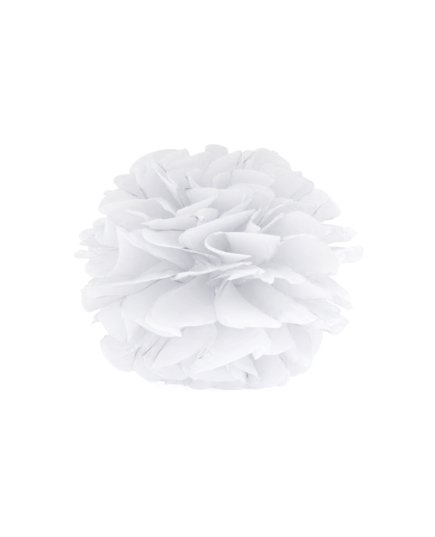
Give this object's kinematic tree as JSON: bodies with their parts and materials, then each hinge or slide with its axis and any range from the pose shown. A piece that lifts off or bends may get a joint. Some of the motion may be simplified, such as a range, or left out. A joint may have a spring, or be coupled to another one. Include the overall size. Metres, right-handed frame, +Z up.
{
  "type": "tissue paper pom pom",
  "caption": "White tissue paper pom pom: pleated sheets tied in the middle and pulled apart into a full ball of round petals.",
  "frame": {"origin": "middle of the ball, on the floor that its lowest petals press on", "axes": "+X along the pleats, from the left fans to the right fans; +Y from the front to the back; +Z up, the way the top sheets are pulled"},
  "size_m": [0.2531, 0.2396, 0.2099],
  "materials": {
    "tissue": "matt, thin and see-through, faintly crumpled",
    "wire": "thin white coating on soft iron wire"
  },
  "bodies": {
    "root": {"tissue_sheet_01": "tissue", "tissue_sheet_02": "tissue", "tissue_sheet_03": "tissue", "tissue_sheet_04": "tissue", "tissue_sheet_05": "tissue", "tissue_sheet_06": "tissue", "tissue_sheet_07": "tissue", "tissue_sheet_08": "tissue", "tissue_sheet_09": "tissue", "tissue_sheet_10": "tissue", "tie_wire": "wire"}
  },
  "joints": []
}
